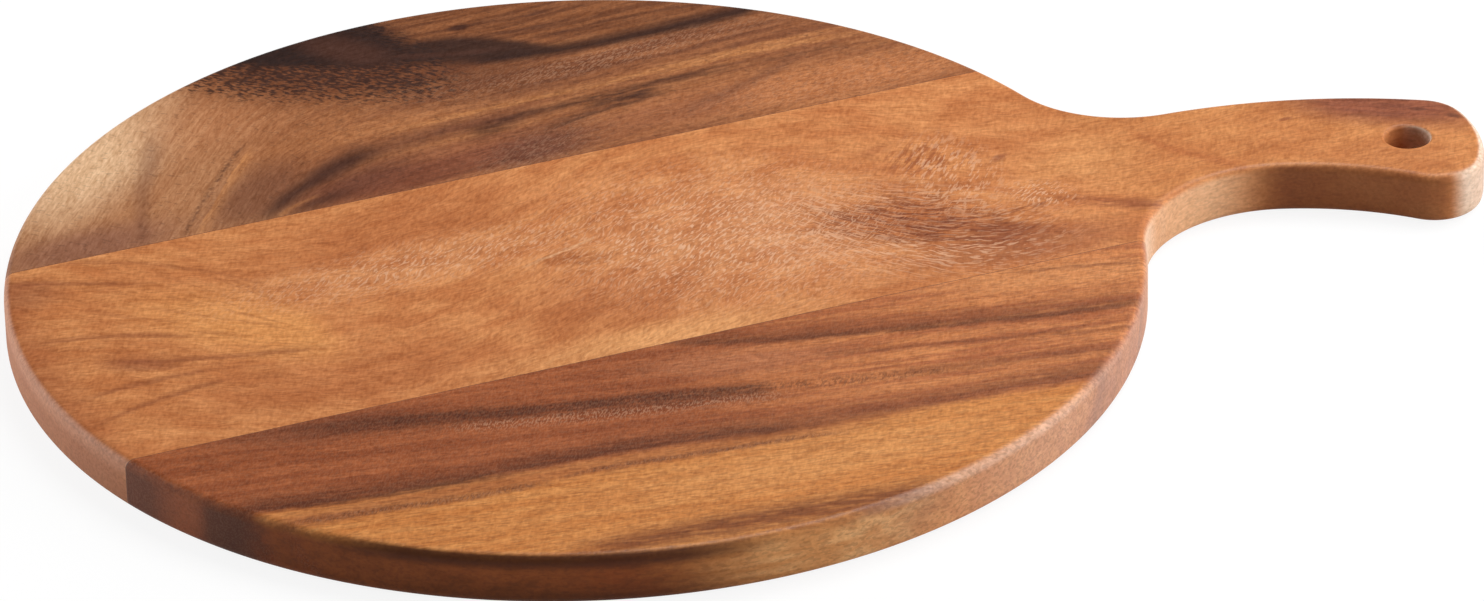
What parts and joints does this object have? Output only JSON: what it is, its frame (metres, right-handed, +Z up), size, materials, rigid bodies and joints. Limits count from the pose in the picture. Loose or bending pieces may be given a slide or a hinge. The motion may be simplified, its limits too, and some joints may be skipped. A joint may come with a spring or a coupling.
{
  "type": "round serving board",
  "caption": "Round wooden serving board glued up from edge-joined staves, with a hooked handle cut from the middle stave and a hanging hole near its tip.",
  "frame": {"origin": "centre of the round on the underside, where the board rests", "axes": "+X along the grain and out along the handle, +Y toward the back of the board, +Z up out of the serving face"},
  "size_m": [0.399, 0.3, 0.014],
  "materials": {
    "back_wood": "oiled, satin",
    "handle_wood": "oiled, satin",
    "front_wood": "oiled, satin",
    "glue": "cured wood glue, flush and oiled over"
  },
  "bodies": {
    "root": {"back_stave": "back_wood", "handle_stave": "handle_wood", "front_stave": "front_wood", "glue_line_back": "glue", "glue_line_front": "glue"}
  },
  "joints": []
}
